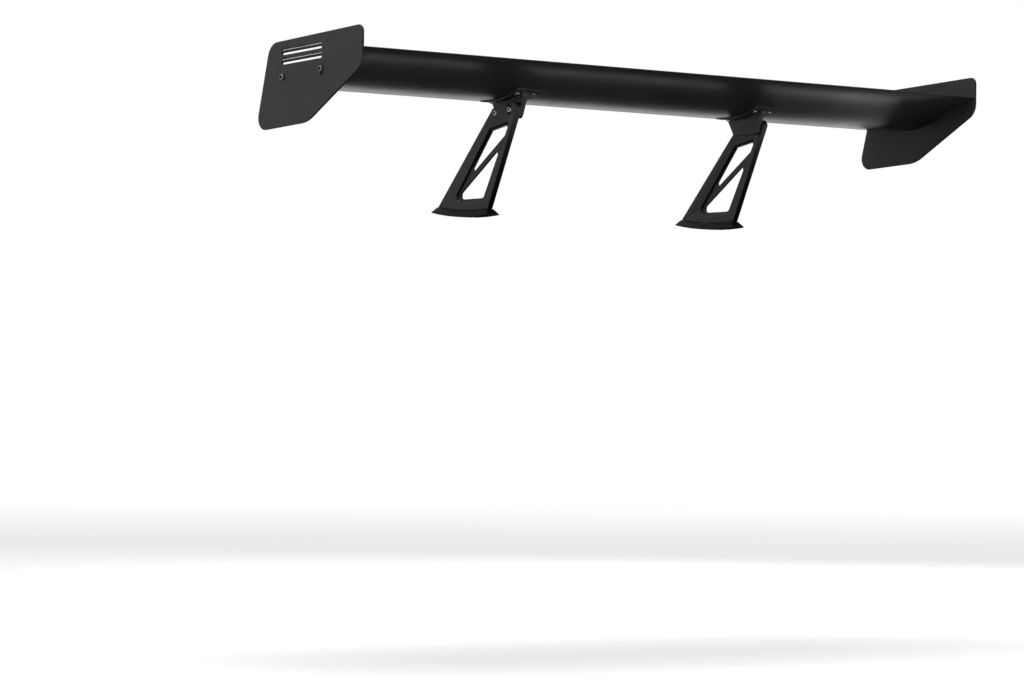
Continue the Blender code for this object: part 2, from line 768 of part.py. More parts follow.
def rocker_block(name, rear, front, half_width, bottom, height, flare):
    """A block on the curved underside, whose four sides lean in by the flare up to its top."""
    shape = bmesh.new()
    bmesh.ops.create_cube(shape, size=1.0)
    middle, length = (front + rear) / 2, front - rear
    for vert in shape.verts:
        lean = flare if vert.co.z > 0 else 0.0
        vert.co.x *= 2 * (half_width - lean)
        vert.co.y = middle + vert.co.y * (length - 2 * lean)
        vert.co.z = bottom + (vert.co.z + 0.5) * height
    for mark in facet_marks(rear, front):
        everything = shape.verts[:] + shape.edges[:] + shape.faces[:]
        bmesh.ops.bisect_plane(
            shape, geom=everything, dist=1e-7, plane_co=(0.0, mark, 0.0), plane_no=(0.0, 1.0, 0.0)
        )
    for vert in shape.verts:
        vert.co.z += rocker(vert.co.y)
    mesh = bpy.data.meshes.new(name)
    shape.to_mesh(mesh)
    shape.free()
    return mesh


def make_foot(word, sign, stand):
    """The shoe and gasket of one stand plate, two screws up into the plate, and deck inserts."""
    reach = SHOE_FLARE + SHOE_LIP
    rear, front = STAND_REAR - reach, STAND_FRONT + reach
    half_width = STAND_THICKNESS / 2 + reach
    x = sign * STAND_X
    shoe_mesh = rocker_block("shoe", rear, front, half_width, SHOE_BOTTOM, SHOE_HEIGHT, SHOE_FLARE)
    gasket_mesh = rocker_block("gasket", rear, front, half_width, 0.0, GASKET_THICKNESS, 0.0)
    shoe = add(f"base_shoe_{word}", shoe_mesh, parts, paint["shoe"])
    gasket = add(f"base_gasket_{word}", gasket_mesh, parts, paint["rubber"])
    shoe.location.x = gasket.location.x = x
    soften(shoe, SHOE_SOFTENING)
    up = Vector((0.0, 0.0, 1.0))
    screw = fastener_mesh(f"stand_screw_{word}", SHOE_SCREW_HEAD, SHOE_SCREW_SHANK, 12)
    for place_word, y in zip(("rear", "front"), SHOE_SCREWS):
        seat = Vector((x, y, rocker(y) + SHOE_BOTTOM + SHOE_SEAT))
        head_bore = rod_cutter(
            f"stand_screw_seat_{place_word}_{word}", SHOE_SEAT_BORE, seat - up * SHOE_HEIGHT, seat
        )
        bore = rod_cutter(
            f"stand_screw_bore_{place_word}_{word}", SHOE_BORE, seat, seat + up * SHOE_BORE_DEPTH
        )
        combine(shoe, head_bore, "DIFFERENCE")
        combine(shoe, bore, "DIFFERENCE")
        combine(stand, bore, "DIFFERENCE")
        name = f"stand_screw_{place_word}_{word}"
        place(add(name, screw, parts, paint["black screw"]), seat - up * SCREW_SEAT, -up)
    insert = ring_mesh(f"deck_insert_{word}", INSERT_BORE, INSERT_RADIUS, 0.0, INSERT_LENGTH, 12)
    for place_word, y in zip(("rear", "front"), DECK_INSERTS):
        ground = Vector((x, y, rocker(y)))
        foot = ground + up * INSERT_START
        pocket = rod_cutter(
            f"insert_pocket_{place_word}_{word}",
            INSERT_RADIUS + GAP,
            ground - up * CUT_PAST,
            foot + up * (INSERT_LENGTH + 2 * GAP),
        )
        passage = rod_cutter(
            f"gasket_hole_{place_word}_{word}", GASKET_HOLE, ground - up * CUT_PAST, foot
        )
        combine(shoe, pocket, "DIFFERENCE")
        combine(gasket, passage, "DIFFERENCE")
        name = f"deck_insert_{place_word}_{word}"
        place(add(name, insert, parts, paint["insert"]), foot, up)


clear_scene()
parts = new_collection("racing rear wing")
cutters = new_collection("cutters")
cutters.hide_render = True
paint = {
    "wing skin": new_material("satin black wing skin", (0.018, 0.018, 0.019), 0.40, 0.0),
    "end plate": new_material("satin black end plate", (0.035, 0.035, 0.037), 0.50, 0.0),
    "laminate": new_material("bare carbon laminate", (0.030, 0.030, 0.032), 0.45, 0.0),
    "bare aluminium": new_material("bare aluminium", (0.62, 0.62, 0.64), 0.40, 1.0),
    "bracket": new_material("black anodised bracket", (0.020, 0.020, 0.023), 0.38, 0.3),
    "stand plate": new_material("black anodised plate", (0.030, 0.029, 0.030), 0.45, 0.3),
    "shoe": new_material("black shoe", (0.012, 0.012, 0.013), 0.50, 0.0),
    "rubber": new_material("black rubber", (0.010, 0.010, 0.010), 0.85, 0.0),
    "black screw": new_material("black oxide screw", (0.015, 0.015, 0.016), 0.35, 0.6),
    "bright screw": new_material("stainless screw", (0.55, 0.54, 0.52), 0.30, 1.0),
    "bright bolt": new_material("stainless bolt", (0.45, 0.43, 0.40), 0.35, 1.0),
    "bush": new_material("bronze bush", (0.50, 0.34, 0.16), 0.35, 1.0),
    "insert": new_material("steel insert", (0.50, 0.50, 0.50), 0.35, 1.0),
}
pivot = bpy.data.objects.new("wing_pivot", None)
pivot.location = (0.0, *PIVOT)
parts.objects.link(pivot)

end_ribs = make_end_ribs()
mount_blocks = make_mount_blocks()
wing_skins = make_skins()
make_spars()
make_endplates(end_ribs)
wing_brackets = make_brackets(wing_skins["lower"], mount_blocks)
make_stands(wing_brackets)
for piece in (*end_ribs.values(), *mount_blocks.values(), *wing_skins.values(), *wing_brackets.values()):
    rides_pivot(piece)
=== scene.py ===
"""The looks of the racing rear wing: finer pieces and their materials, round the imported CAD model.

Metres, in the frame of the CAD model: X to the car's right, Y to its front, Z up.
"""

import json
import math

import bmesh
import bpy
import numpy as np
from mathutils import Matrix, Vector


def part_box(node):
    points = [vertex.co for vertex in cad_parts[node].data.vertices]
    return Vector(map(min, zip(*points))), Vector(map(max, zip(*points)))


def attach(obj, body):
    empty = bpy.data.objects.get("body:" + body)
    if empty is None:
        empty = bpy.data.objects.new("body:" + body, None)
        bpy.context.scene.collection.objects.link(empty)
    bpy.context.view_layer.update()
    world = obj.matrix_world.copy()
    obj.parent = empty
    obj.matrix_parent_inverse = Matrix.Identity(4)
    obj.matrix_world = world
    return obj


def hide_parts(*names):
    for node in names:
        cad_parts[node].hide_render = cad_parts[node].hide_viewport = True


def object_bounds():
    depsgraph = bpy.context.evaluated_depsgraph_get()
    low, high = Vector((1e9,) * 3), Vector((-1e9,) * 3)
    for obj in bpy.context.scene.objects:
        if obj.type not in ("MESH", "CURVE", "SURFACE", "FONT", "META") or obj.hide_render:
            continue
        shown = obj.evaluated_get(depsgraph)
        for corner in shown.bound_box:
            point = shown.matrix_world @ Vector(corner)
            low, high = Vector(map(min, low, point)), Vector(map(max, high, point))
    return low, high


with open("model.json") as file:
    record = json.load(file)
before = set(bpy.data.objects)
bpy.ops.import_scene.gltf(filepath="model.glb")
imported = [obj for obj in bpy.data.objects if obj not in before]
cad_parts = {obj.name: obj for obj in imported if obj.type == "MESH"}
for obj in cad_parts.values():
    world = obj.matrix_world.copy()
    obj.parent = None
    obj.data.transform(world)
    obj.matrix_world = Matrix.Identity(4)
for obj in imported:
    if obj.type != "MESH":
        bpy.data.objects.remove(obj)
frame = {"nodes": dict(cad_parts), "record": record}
cad_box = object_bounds()
nodes = frame["nodes"]
body_of = {node: body for body, names in frame["record"]["behaviour"]["bodies"].items() for node in names}
slot_of = {row["node"]: row["material_slot"] for row in frame["record"]["subparts"]}
SIDES = ("left", "right")

# Camera: where the car's photographer stood, and the lens
CAMERA_AT = Vector((-4.868, -6.239, -0.424))
CAMERA_YAW, CAMERA_PITCH, CAMERA_ROLL = (math.radians(angle) for angle in (36.61, 1.22, 0.59))
LENS_MM, SENSOR_MM = 129.55, 36.0

# Floor, surround and lights
GROUND = -0.915  # the road, seen from the boot lid that carries the wing
FLOOR_RADIUS = 160.0
FLOOR_FADE = (2.5, 14.0)  # distances between which the floor brightens into the background
SURROUND = (0.42, 1.0)  # how bright the surround is as a light, at the horizon and overhead
SOFTBOXES = (  # name, place, width, height and power
    ("key", (-4.0, -2.5, 3.2), 3.0, 2.0, 90.0),
    ("top", (0.0, 0.5, 3.5), 4.0, 2.5, 110.0),
    ("rim", (3.5, 3.0, 1.8), 2.5, 2.0, 60.0),
)

# The dark card that the wing's underside reflects
FLAG_LEFT, FLAG_RIGHT = -1.0, 0.95  # its left edge, and the right end of its front edge
FLAG_REAR, FLAG_FRONT = -0.4, 0.51
FLAG_SPLAY = 0.50  # how much further right its rear edge reaches
FLAG_DROP = 0.06  # below the object

# Plates and blocks
SAME_POINT = 2e-6  # points closer than this are one
ON_PLANE = 1e-5  # points no further than this from a plane lie in it
FLAT_TURN = math.radians(0.3)  # faces that meet at less than this are one flat face
BEVEL_SEGMENTS = 2
BEVEL_TURN = math.radians(38.0)  # edges that turn more than this are rounded
PLATES = {  # name of the piece and width of its rounded edges
    "endplate": ("endplate_panel", 0.0004),
    "stand_plate": ("stand_panel", 0.0003),
}
BLOCKS = {
    "bracket": ("bracket_body", 0.0004),
    "base_shoe": ("shoe_body", 0.0004),
    "base_gasket": ("gasket_sheet", 0.0004),
    "end_rib": ("end_rib_body", 0.0003),
    "mount_block": ("mount_block_body", 0.0004),
}
# faces whose normal has a smaller X part than this, the plates' cut edges and the sides of their recesses,
# take painted shade
FACE_TILT = 0.93  # X part of a normal, above which a face belongs to a plate's broad sides
LIP_INSET = 0.0010  # of the louvre hoods, from either side of the end plate
LIP_TILT = 0.3  # least X and Z parts of a hood's upper side's normal

# The wing's skins
SKIN_STEPS = 5  # fine points between two of the CAD section's points
SKIN_BAYS = 24
SECTION_CORNER = math.radians(40.0)  # a sharper turn than this isn't smoothed

# Screws, bolts and rings
RING_SIDES = 40
SCREW_SIDES = 36
THREAD_PITCH = 0.0009
THREAD_DEPTH = 0.0003
NECK = 0.0004  # a ring of the plain shank, this far below the seat
PLAIN_SHANK = 0.0008  # the thread starts this far below the seat
SHANK_POINT = 0.0006  # how much smaller the radius of the shank's end is
HEAD_CHAMFER = 0.0003
CROWN = 0.45  # rounded part of the head, as a fraction of its height
CROWN_TURNS = range(0, 91, 15)  # degrees
RIM = 0.60  # outer edge of the ring round the socket, as a fraction of the head's radius
SOCKET_SIZE = 0.46  # half the socket's width across flats, as a fraction of the head's radius
SOCKET_FLOOR = 0.35  # as a fraction of the head's height
SOCKET_CHAMFER = ((1.12, 0.0001), (1.0, 0.0004))  # size of the socket, and depth below the top
SOCKET_TAPER = 0.98  # size of the socket at its floor
DRILL_POINT = 0.0004  # below the socket's floor
ON_RIM = 0.98  # a point beyond this fraction of the head's radius is on its rim
SHANK_END = 1e-4  # points within this of the end are the shank's
RING_CHAMFER = 0.0002


# Node trees ------------------------------------------------------------------------------------


class Tree:
    """A material's node tree, with one short method for each kind of node used here."""

    def __init__(self, name):
        self.material = bpy.data.materials.new(name)
        self.material.use_nodes = True
        self.nodes = self.material.node_tree.nodes
        self.links = self.material.node_tree.links
        self.shader = self.nodes["Principled BSDF"]
        self.place = self.nodes.new("ShaderNodeTexCoord").outputs["Object"]

    def put(self, value, socket):
        if isinstance(value, bpy.types.NodeSocket):
            self.links.new(value, socket)
        else:
            socket.default_value = value

    def stretched(self, scale, turn=(0.0, 0.0, 0.0)):
        """The object's coordinates, scaled and turned."""
        node = self.nodes.new("ShaderNodeMapping")
        node.inputs["Scale"].default_value = scale
        node.inputs["Rotation"].default_value = turn
        self.links.new(self.place, node.inputs["Vector"])
        return node.outputs["Vector"]

    def noise(self, scale, detail=4.0, roughness=0.5, place=None):
        node = self.nodes.new("ShaderNodeTexNoise")
        node.inputs["Scale"].default_value = scale
        node.inputs["Detail"].default_value = detail
        node.inputs["Roughness"].default_value = roughness
        self.links.new(place or self.place, node.inputs["Vector"])
        return node.outputs["Fac"]

    def cells(self, scale):
        node = self.nodes.new("ShaderNodeTexVoronoi")
        node.feature = "SMOOTH_F1"
        node.inputs["Scale"].default_value = scale
        self.links.new(self.place, node.inputs["Vector"])
        return node.outputs["Distance"]

    def ranged(self, value, low, high, to_low=0.0, to_high=1.0, smooth=False):
        node = self.nodes.new("ShaderNodeMapRange")
        node.interpolation_type = "SMOOTHSTEP" if smooth else "LINEAR"
        for key, number in zip(("From Min", "From Max", "To Min", "To Max"), (low, high, to_low, to_high)):
            node.inputs[key].default_value = number
        self.links.new(value, node.inputs["Value"])
        return node.outputs["Result"]

    def maths(self, operation, first, second):
        node = self.nodes.new("ShaderNodeMath")
        node.operation = operation
        self.put(first, node.inputs[0])
        self.put(second, node.inputs[1])
        return node.outputs["Value"]

    def mixed(self, share, first, second):
        """A colour between two, each a colour or a socket."""
        node = self.nodes.new("ShaderNodeMix")
        node.data_type = "RGBA"
        self.put(share, node.inputs["Factor"])
        self.put(first if isinstance(first, bpy.types.NodeSocket) else (*first, 1.0), node.inputs["A"])
        self.put(second if isinstance(second, bpy.types.NodeSocket) else (*second, 1.0), node.inputs["B"])
        return node.outputs["Result"]

    def worn_edges(self, low, high):
        """From 0 on flat ground to 1 on a sharp outer edge, broken up by noise."""
        pointiness = self.nodes.new("ShaderNodeNewGeometry").outputs["Pointiness"]
        edge = self.ranged(pointiness, low, high, smooth=True)
        return self.maths("MULTIPLY", edge, self.ranged(self.noise(90.0, 5.0), 0.42, 0.62))

    def bump(self, height, distance, strength, under=None):
        node = self.nodes.new("ShaderNodeBump")
        node.inputs["Strength"].default_value = strength
        node.inputs["Distance"].default_value = distance
        self.links.new(height, node.inputs["Height"])
        if under:
            self.links.new(under, node.inputs["Normal"])
        return node.outputs["Normal"]

    def shade(self, colour, roughness, normal, metallic=0.0, specular=0.5):
        self.links.new(colour, self.shader.inputs["Base Color"])
        self.links.new(roughness, self.shader.inputs["Roughness"])
        self.links.new(normal, self.shader.inputs["Normal"])
        self.shader.inputs["Metallic"].default_value = metallic
        self.shader.inputs["Specular IOR Level"].default_value = specular
        return self.material


def satin_paint(name, dark, light, roughness, specular, grain):
    """Satin black paint over a composite part: fine texture, faint clouding and dust."""
    tree = Tree(name)
    clouding = tree.ranged(tree.noise(5.0, 6.0, 0.6), 0.3, 0.7)
    speckle = tree.ranged(tree.noise(1400.0, 2.0), 0.60, 0.75)
    dust = tree.maths("MULTIPLY", speckle, tree.ranged(tree.noise(18.0), 0.45, 0.75, 0.0, 0.5))
    colour = tree.mixed(clouding, dark, light)
    colour = tree.mixed(dust, colour, [min(4.0 * part, 1.0) for part in light])
    handling = tree.ranged(tree.noise(9.0, 8.0, 0.65), 0.25, 0.75, roughness - 0.05, roughness + 0.06)
    sheen = tree.maths("ADD", handling, tree.ranged(tree.noise(600.0, 3.0), 0.0, 1.0, -0.03, 0.03))
    waviness = tree.bump(tree.noise(14.0, 2.0), 0.0004, 0.35)
    texture = tree.bump(tree.noise(grain, 3.0, 0.6), 0.00006, 0.8, waviness)
    return tree.shade(colour, sheen, texture, specular=specular)


def anodised(name, dark, light, roughness, along):
    """Black anodised aluminium: milling marks under a matte dyed layer."""
    tree = Tree(name)
    marks = tree.noise(60.0, 6.0, 0.7, tree.stretched(along))
    blotches = tree.ranged(tree.noise(22.0, 5.0, 0.6), 0.3, 0.7)
    colour = tree.mixed(blotches, dark, light)
    colour = tree.mixed(tree.ranged(marks, 0.45, 0.75, 0.0, 0.35), colour, [1.7 * part for part in light])
    sheen = tree.ranged(tree.noise(35.0, 7.0, 0.7), 0.25, 0.75, roughness - 0.06, roughness + 0.07)
    blasted = tree.bump(tree.noise(2200.0, 2.0), 0.00004, 0.7)
    milled = tree.bump(marks, 0.00006, 0.5, blasted)
    return tree.shade(colour, sheen, milled, metallic=0.15, specular=0.42)


def rubbed_edge(name, paint, bare, roughness, metallic):
    """A worn edge of a painted or anodised piece: the finish, thinned and in places rubbed through."""
    tree = Tree(name)
    thinned = tree.ranged(tree.noise(45.0, 5.0, 0.6), 0.35, 0.65)
    rubbed = tree.ranged(tree.noise(160.0, 6.0, 0.7), 0.56, 0.68, 0.0, 0.8)
    colour = tree.mixed(thinned, paint, [1.6 * part for part in paint])
    colour = tree.mixed(rubbed, colour, bare)
    sheen = tree.ranged(tree.noise(200.0, 4.0), 0.25, 0.75, roughness - 0.08, roughness + 0.06)
    return tree.shade(colour, sheen, tree.bump(tree.noise(1600.0, 2.0), 0.00004, 0.6), metallic=metallic)


def powder_coat(name, dark, light, roughness):
    """Black powder coat: the orange-peel skin that it flows out to, and some road dust."""
    tree = Tree(name)
    peel = tree.cells(900.0)
    colour = tree.mixed(tree.ranged(tree.noise(30.0, 6.0), 0.3, 0.7), dark, light)
    dust = tree.ranged(tree.noise(1100.0, 2.0), 0.66, 0.78, 0.0, 0.5)
    colour = tree.mixed(dust, colour, (0.09, 0.088, 0.085))
    sheen = tree.ranged(tree.noise(50.0, 5.0), 0.25, 0.75, roughness - 0.05, roughness + 0.08)
    return tree.shade(colour, sheen, tree.bump(peel, 0.0001, 0.6), specular=0.09)


def rubber(name):
    """Matte moulded rubber with dust on it."""
    tree = Tree(name)
    dusty = tree.ranged(tree.noise(70.0, 8.0, 0.7), 0.35, 0.75)
    colour = tree.mixed(dusty, (0.006, 0.006, 0.006), (0.022, 0.022, 0.021))
    sheen = tree.ranged(tree.noise(120.0), 0.2, 0.8, 0.74, 0.92)
    return tree.shade(colour, sheen, tree.bump(tree.noise(900.0, 5.0, 0.7), 0.0002, 0.7), specular=0.3)


def turned_metal(name, dark, light, roughness, metallic, wear):
    """Screws, bolts, washers and bushes: fine turning marks, handling marks and brighter edges."""
    tree = Tree(name)
    marks = tree.noise(2600.0, 3.0, 0.6, tree.stretched((1.0, 0.12, 0.12)))
    stains = tree.ranged(tree.noise(260.0, 6.0, 0.6), 0.35, 0.7)
    colour = tree.mixed(stains, dark, light)
    colour = tree.mixed(tree.worn_edges(0.55, 0.70), colour, wear)
    sheen = tree.ranged(marks, 0.25, 0.75, roughness - 0.08, roughness + 0.10)
    return tree.shade(colour, sheen, tree.bump(marks, 0.00003, 0.8), metallic=metallic)


def milled_aluminium(name):
    """Bare aluminium ribs and blocks inside the wing: the cutter's passes and some smears of resin."""
    tree = Tree(name)
    wave = tree.nodes.new("ShaderNodeTexWave")
    wave.inputs["Scale"].default_value = 160.0
    wave.inputs["Distortion"].default_value = 3.0
    wave.inputs["Detail"].default_value = 3.0
    tree.links.new(tree.stretched((1.0, 1.0, 0.2), (0.0, 0.0, 0.6)), wave.inputs["Vector"])
    passes = wave.outputs["Fac"]
    colour = tree.mixed(tree.ranged(tree.noise(40.0, 6.0), 0.3, 0.7), (0.50, 0.50, 0.51), (0.66, 0.66, 0.67))
    colour = tree.mixed(tree.ranged(tree.noise(12.0, 8.0), 0.60, 0.70, 0.0, 0.6), colour, (0.30, 0.28, 0.24))
    sheen = tree.ranged(passes, 0.0, 1.0, 0.30, 0.46)
    return tree.shade(colour, sheen, tree.bump(passes, 0.00008, 0.5), metallic=1.0)


def carbon_laminate(name):
    """Bare carbon twill on the spars: two sets of tows that cross each other."""
    tree = Tree(name)
    tow = 260.0
    sets = []
    for turn in (math.pi / 4, -math.pi / 4):
        wave = tree.nodes.new("ShaderNodeTexWave")
        wave.bands_direction = "X"
        wave.inputs["Scale"].default_value = tow / 6
        wave.inputs["Distortion"].default_value = 0.6
        tree.links.new(tree.stretched((1.0, 1.0, 1.0), (0.0, turn, 0.0)), wave.inputs["Vector"])
        sets.append(wave.outputs["Fac"])
    weave = tree.maths("MAXIMUM", *sets)
    colour = tree.mixed(weave, (0.006, 0.006, 0.007), (0.050, 0.050, 0.054))
    sheen = tree.ranged(sets[0], 0.0, 1.0, 0.28, 0.48)
    return tree.shade(colour, sheen, tree.bump(weave, 0.0002, 0.6))


materials = {
    "wing_skin": satin_paint(
        "satin wing paint", (0.0095, 0.0095, 0.0100), (0.0130, 0.0130, 0.0137), 0.32, 0.46, 1500.0
    ),
    "end_plate": satin_paint(
        "satin end plate paint", (0.0125, 0.0125, 0.0131), (0.0170, 0.0170, 0.0179), 0.50, 0.34, 1100.0
    ),
    "stand_plate": anodised(
        "anodised stand plate", (0.0165, 0.0158, 0.0160), (0.0235, 0.0225, 0.0228), 0.42, (1.0, 0.5, 4.0)
    ),
    "bracket": anodised(
        "anodised bracket", (0.0165, 0.0165, 0.0175), (0.0235, 0.0235, 0.0252), 0.38, (1.0, 4.0, 0.6)
    ),
    "shoe": powder_coat("powder coated shoe", (0.0015, 0.0015, 0.0016), (0.0030, 0.0030, 0.0032), 0.50),
    "rubber": rubber("moulded rubber"),
    "black_screw": turned_metal(
        "black oxide screw", (0.13, 0.13, 0.135), (0.22, 0.22, 0.225), 0.26, 1.0, (0.34, 0.34, 0.34)
    ),
    "bright_screw": turned_metal(
        "stainless screw", (0.46, 0.45, 0.43), (0.66, 0.65, 0.62), 0.26, 1.0, (0.80, 0.79, 0.77)
    ),
    "bright_bolt": turned_metal(
        "stainless bolt", (0.60, 0.56, 0.51), (0.80, 0.76, 0.70), 0.28, 1.0, (0.86, 0.83, 0.78)
    ),
    "bush": turned_metal(
        "bronze bush", (0.32, 0.20, 0.09), (0.50, 0.34, 0.16), 0.32, 1.0, (0.62, 0.45, 0.24)
    ),
    "insert": turned_metal(
        "steel insert", (0.34, 0.34, 0.34), (0.52, 0.52, 0.52), 0.34, 1.0, (0.66, 0.66, 0.66)
    ),
    "bare_aluminium": milled_aluminium("milled aluminium"),
    "laminate": carbon_laminate("carbon laminate"),
}

# Painted shade: near-black materials for the plates' cut edges and the sides of their recesses, darker than
# their faces
painted_shade_walls = {
    "end_plate": satin_paint(
        "end plate edge painted shade", (0.0030, 0.0030, 0.0032), (0.0060, 0.0060, 0.0063), 0.44, 0.20, 1100.0
    ),
    "stand_plate": anodised(
        "stand wall painted shade", (0.0035, 0.0033, 0.0034), (0.0070, 0.0066, 0.0067), 0.36, (4.0, 1.0, 1.0)
    ),
}
bare_lip = rubbed_edge("bare louvre lip", (0.76, 0.76, 0.77), (0.92, 0.92, 0.92), 0.34, 1.0)
# Painted shade: a near-black material for the inside of the screws' hexagon sockets
socket = turned_metal(
    "socket painted shade", (0.004, 0.004, 0.004), (0.012, 0.012, 0.011), 0.50, 0.2, (0.04, 0.04, 0.04)
)

edges = {
    "end_plate": rubbed_edge(
        "rubbed end plate edge", (0.022, 0.022, 0.023), (0.060, 0.060, 0.062), 0.42, 0.0
    ),
    "stand_plate": rubbed_edge(
        "rubbed stand edge", (0.026, 0.025, 0.026), (0.130, 0.125, 0.120), 0.34, 0.3
    ),
    "bracket": rubbed_edge(
        "rubbed bracket edge", (0.024, 0.024, 0.026), (0.130, 0.125, 0.120), 0.32, 0.3
    ),
    "shoe": rubbed_edge("rubbed shoe edge", (0.014, 0.014, 0.015), (0.045, 0.044, 0.043), 0.42, 0.0),
    "rubber": rubber("rubber edge"),
    "bare_aluminium": milled_aluminium("broken aluminium edge"),
}


# Pieces ----------------------------------------------------------------------------------------


def add_piece(name, shape, node, crease=35.0):
    """Turns a bmesh into the piece that stands for this CAD node, in its material, on its body."""
    mesh = bpy.data.meshes.new(name)
    bmesh.ops.recalc_face_normals(shape, faces=shape.faces)
    shape.to_mesh(mesh)
    shape.free()
    mesh.shade_smooth()
    mesh.set_sharp_from_angle(angle=math.radians(crease))
    mesh.materials.append(materials[slot_of[node]])
    piece = bpy.data.objects.new(name, mesh)
    bpy.context.scene.collection.objects.link(piece)
    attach(piece, body_of[node])
    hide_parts(node)
    return piece


def shape_of(node):
    """The CAD node's own surface, its split corners joined and its flat faces made whole again."""
    shape = bmesh.new()
    shape.from_mesh(nodes[node].data)
    bmesh.ops.remove_doubles(shape, verts=shape.verts, dist=SAME_POINT)
    bmesh.ops.dissolve_limit(shape, angle_limit=FLAT_TURN, verts=shape.verts, edges=shape.edges)
    return shape


def machined(node, name, width):
    """A plate or block with the CAD node's shape, its edges rounded and its arcs shaded smooth."""
    piece = add_piece(name, shape_of(node), node)
    piece.data.materials.append(edges[slot_of[node]])
    bevel = piece.modifiers.new("Rounded edges", "BEVEL")
    bevel.material = 1
    bevel.width = width
    bevel.segments = BEVEL_SEGMENTS
    bevel.limit_method = "ANGLE"
    bevel.angle_limit = BEVEL_TURN
    bevel.harden_normals = True
    return piece


def repaint(piece, material, chosen):
    """Gives the faces for which this is true another material."""
    piece.data.materials.append(material)
    index = len(piece.data.materials) - 1
    for face in piece.data.polygons:
        if chosen(face):
            face.material_index = index


def cut_plate(node, name, width):
    """A sheet standing in the Y-Z plane, whose cut edges and the sides of its recesses carry painted shade,
    darker than its faces.
    """
    piece = machined(node, name, width)
    # painted shade on every face that doesn't face sideways
    repaint(piece, painted_shade_walls[slot_of[node]], lambda face: abs(face.normal.x) < FACE_TILT)


def bare_the_lips(piece, node):
    """The hoods in an end plate's louvres have a bare upper side, which lies between its two faces."""
    low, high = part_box(node)

    def on_a_lip(face):
        inside = low.x + LIP_INSET < face.center.x < high.x - LIP_INSET
        return inside and min(face.normal.z, abs(face.normal.x)) > LIP_TILT

    repaint(piece, bare_lip, on_a_lip)


# The wing's skins ------------------------------------------------------------------------------


def section_loop(node):
    """The CAD skin's section in the Y-Z plane at its right end, in order."""
    shape = shape_of(node)
    end = max(vert.co.x for vert in shape.verts)
    cap = max(
        (face for face in shape.faces if all(end - vert.co.x < ON_PLANE for vert in face.verts)),
        key=lambda face: face.calc_area(),
    )
    loop = [Vector((vert.co.y, vert.co.z)) for vert in cap.verts]
    shape.free()
    return loop, end


def corner_marks(loop):
    """The places in the loop where the outline turns sharply."""
    marks = []
    for i, point in enumerate(loop):
        before, after = point - loop[i - 1], loop[(i + 1) % len(loop)] - point
        if before.angle(after) > SECTION_CORNER:
            marks.append(i)
    return marks


def smooth_run(points, steps):
    """Catmull-Rom points through this open run, without its last point."""
    run = [2 * points[0] - points[1], *points, 2 * points[-1] - points[-2]]
    fine = []
    for a, b, c, d in zip(run, run[1:], run[2:], run[3:]):
        square, cube = 2 * a - 5 * b + 4 * c - d, 3 * b - a - 3 * c + d
        for k in range(steps):
            t = k / steps
            fine.append(0.5 * (2 * b + (c - a) * t + square * t * t + cube * t**3))
    return fine


def fine_section(loop, steps):
    """The loop with smooth curves between its sharp corners."""
    marks = corner_marks(loop)
    turned = loop[marks[0]:] + loop[: marks[0]]
    stops = [mark - marks[0] for mark in marks] + [len(loop)]
    fine = []
    for start, stop in zip(stops, stops[1:]):
        run = [turned[i % len(turned)] for i in range(start, stop + 1)]
        fine += smooth_run(run, steps) if len(run) > 3 else run[:-1]
    return fine


def make_skin(node, name):
    """One skin of the wing, drawn along the span through fine sections."""
    loop, end = section_loop(node)
    outline = fine_section(loop, SKIN_STEPS)
    shape = bmesh.new()
    rings = [
        [shape.verts.new((end * (2 * bay / SKIN_BAYS - 1), y, z)) for y, z in outline]
        for bay in range(SKIN_BAYS + 1)
    ]
    for near, far in zip(rings, rings[1:]):
        for i in range(len(outline)):
            shape.faces.new((near[i - 1], near[i], far[i], far[i - 1]))
    shape.faces.new(rings[0])
    shape.faces.new(reversed(rings[-1]))
    add_piece(name, shape, node, crease=30.0)


# Turned pieces ---------------------------------------------------------------------------------


def axis_of(points):
    """The direction round which the points are spread most evenly."""
    spread = points - points.mean(axis=0)
    values, directions = np.linalg.eigh(spread.T @ spread)
    gaps = (abs(values[1] - values[0]), abs(values[2] - values[1]))
    return Vector(directions[:, 2] if gaps[1] > gaps[0] else directions[:, 0])


def circle(shape, radius, height, sides):
    """Adds points round Z at this height, or one point where the radius is 0."""
    if radius == 0:
        return [shape.verts.new((0.0, 0.0, height))]
    angles = [2 * math.pi * k / sides for k in range(sides)]
    return [shape.verts.new((radius * math.cos(turn), radius * math.sin(turn), height)) for turn in angles]


def join_rings(shape, first, second, index=0):
    """Adds the faces between two closed rows of points, either of which may be a single point."""
    for k in range(max(len(first), len(second))):
        corners = [first[k - 1], first[k]] if len(first) > 1 else [first[0]]
        corners += [second[k], second[k - 1]] if len(second) > 1 else [second[0]]
        shape.faces.new(corners).material_index = index


def revolve(shape, profile, sides, close=False):
    """Adds the surface that the (radius, height) profile sweeps about Z."""
    rings = [circle(shape, radius, height, sides) for radius, height in profile]
    pairs = list(zip(rings, rings[1:])) + ([(rings[-1], rings[0])] if close else [])
    for first, second in pairs:
        join_rings(shape, first, second)
    return rings


def stand_on(shape, axis, place):
    """Turns the shape's Z to this axis and its origin to this place."""
    turn = axis.to_track_quat("Z", "Y").to_matrix().to_4x4()
    shape.transform(Matrix.Translation(place) @ turn)


def thread(radius, start, end):
    """Profile points of a threaded shank between two heights, from the head down."""
    points = []
    for turn in range(int((start - end) / THREAD_PITCH)):
        crest = start - turn * THREAD_PITCH
        points += [(radius, crest), (radius - THREAD_DEPTH, crest - THREAD_PITCH / 2)]
    return points


